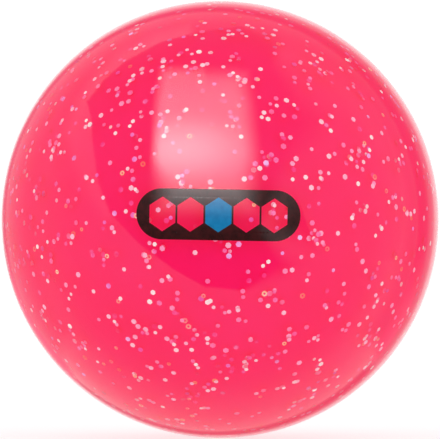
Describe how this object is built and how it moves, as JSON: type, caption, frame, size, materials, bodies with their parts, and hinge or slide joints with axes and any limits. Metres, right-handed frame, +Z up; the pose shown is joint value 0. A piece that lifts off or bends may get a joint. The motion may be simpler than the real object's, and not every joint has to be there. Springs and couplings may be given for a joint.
{
  "type": "field hockey ball",
  "caption": "Smooth round field hockey ball with a hollow pink inner ball under a clear glitter cover, for hitting and rolling along the ground.",
  "frame": {"origin": "centre of the ball", "axes": "+Z up, Y along the mould axis of the ball, with the printed pole facing -Y and the seam in the XZ plane"},
  "size_m": [0.073, 0.073, 0.073],
  "materials": {
    "pink_core": "satin moulded vinyl",
    "clear_cover": "polished clear vinyl",
    "silver_glitter": "metallised film flakes",
    "pink_glitter": "pearl film flakes",
    "gold_glitter": "metallised film flakes",
    "black_print": "gloss pad printing ink",
    "blue_print": "gloss pad printing ink"
  },
  "bodies": {
    "root": {"core_cup_front": "pink_core", "core_cup_back": "pink_core", "cover_half_front": "clear_cover", "cover_half_back": "clear_cover"}
  },
  "joints": []
}
